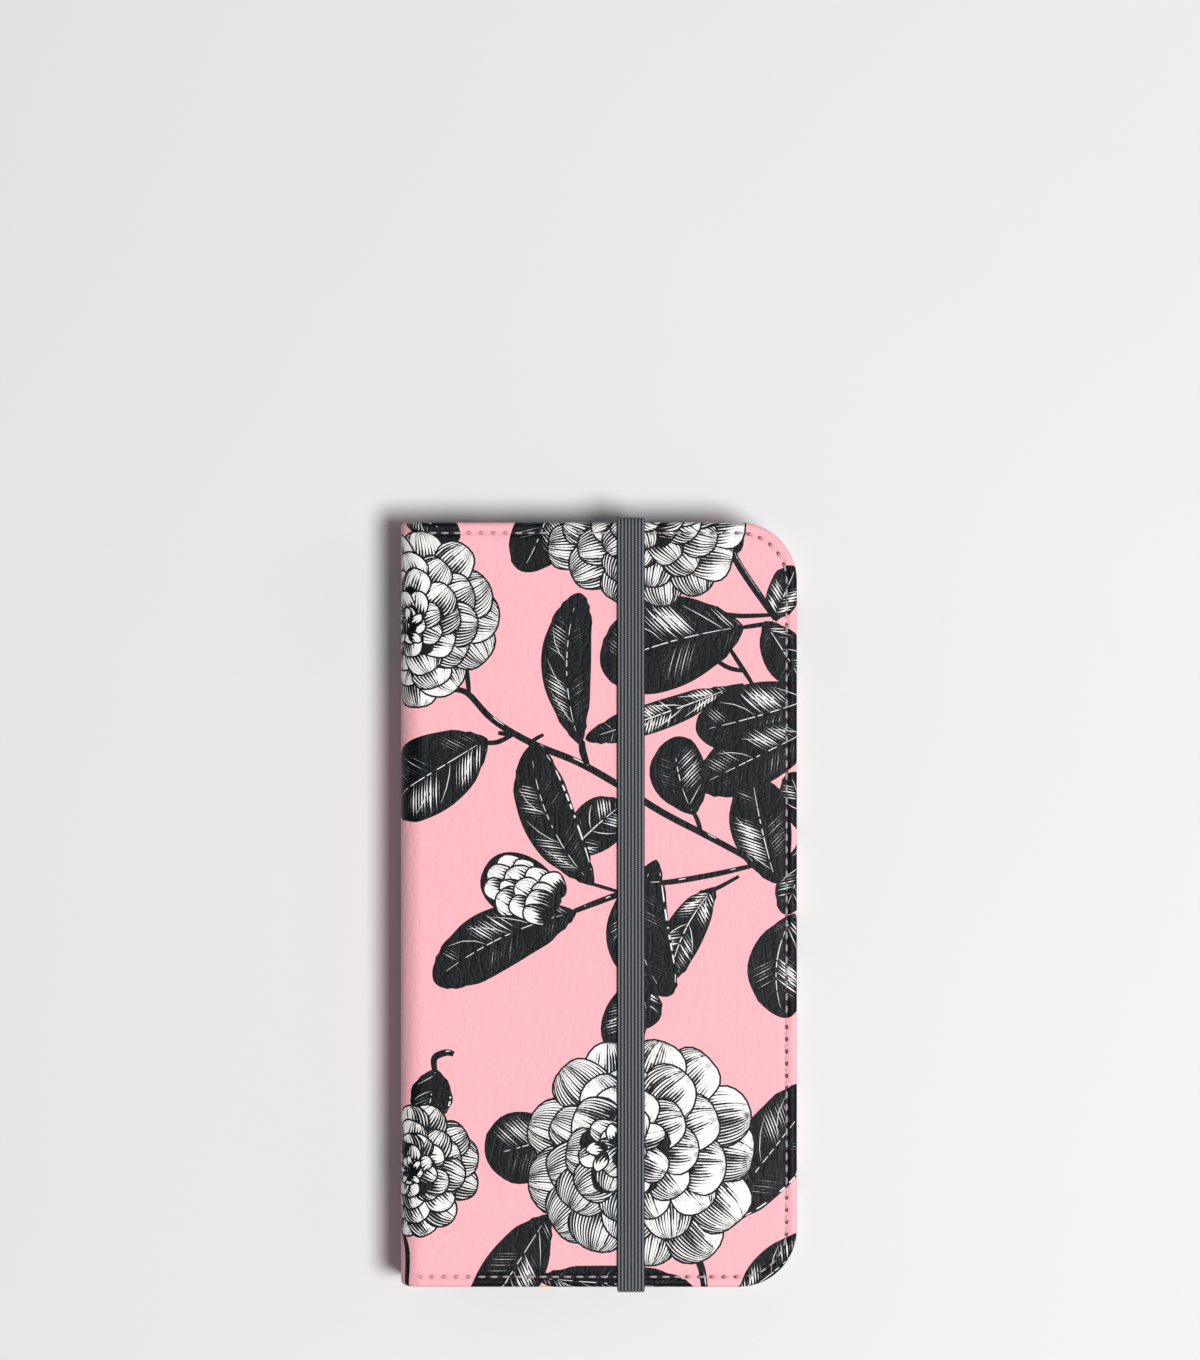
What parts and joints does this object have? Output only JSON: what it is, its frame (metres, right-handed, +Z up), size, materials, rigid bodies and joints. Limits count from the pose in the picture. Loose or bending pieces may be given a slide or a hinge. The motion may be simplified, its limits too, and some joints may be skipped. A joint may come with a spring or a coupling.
{
  "type": "phone case",
  "caption": "Book-style phone case: printed leather wrap over boards, opening on two spine creases around a snap-in phone shell, with card pockets and an elastic closing band.",
  "frame": {"origin": "centre of the footprint, on the surface that the closed case lies on", "axes": "+Z up through the front cover, +X from the spine to the opening edge, +Y from the bottom end to the top end"},
  "size_m": [0.075, 0.1466, 0.0182],
  "materials": {
    "printed_leather": "coated leather in pink with a black and white floral print, fine grain, low sheen",
    "fibre_board": "grey-brown pressed fibre board",
    "lining": "black fine-grained lining leather, matte",
    "pocket_leather": "black fine-grained pocket leather with a sewn edge, matte",
    "shell_plastic": "black polycarbonate, fine spark texture outside, smooth lip",
    "adhesive_foam": "white double-sided foam tape",
    "elastic_webbing": "ribbed slate-grey elastic with eight raised cords",
    "sewing_thread": "bonded pink polyester thread"
  },
  "bodies": {
    "back_cover": {"back_skin": "printed_leather", "back_crease": "printed_leather", "back_board": "fibre_board", "back_lining": "lining", "back_seam_thread": "sewing_thread", "adhesive_pad": "adhesive_foam", "phone_shell": "shell_plastic", "elastic_end_top": "elastic_webbing", "elastic_end_bottom": "elastic_webbing"},
    "spine": {"spine_skin": "printed_leather", "spine_board": "fibre_board", "spine_lining": "lining"},
    "front_cover": {"front_skin": "printed_leather", "front_crease": "printed_leather", "front_board": "fibre_board", "front_lining": "lining", "front_seam_thread": "sewing_thread", "card_pocket_1": "pocket_leather", "card_pocket_2": "pocket_leather", "card_pocket_3": "pocket_leather"},
    "elastic_strap": {"elastic_band": "elastic_webbing"}
  },
  "joints": [
    {"name": "spine_fold", "type": "hinge", "parent": "back_cover", "child": "spine", "pos_m": [-0.0369, 0, 0.0006], "axis": [0, -1, 0], "range_deg": [0, 90], "deforming": ["back_crease"]},
    {"name": "cover_fold", "type": "hinge", "parent": "spine", "child": "front_cover", "pos_m": [-0.0369, 0, 0.0166], "axis": [0, -1, 0], "range_deg": [0, 90], "deforming": ["front_crease"]},
    {"name": "strap_release", "type": "slide", "parent": "back_cover", "child": "elastic_strap", "axis": [1, 0, 0], "range_m": [0, 0.0344], "deforming": ["elastic_band"]}
  ]
}
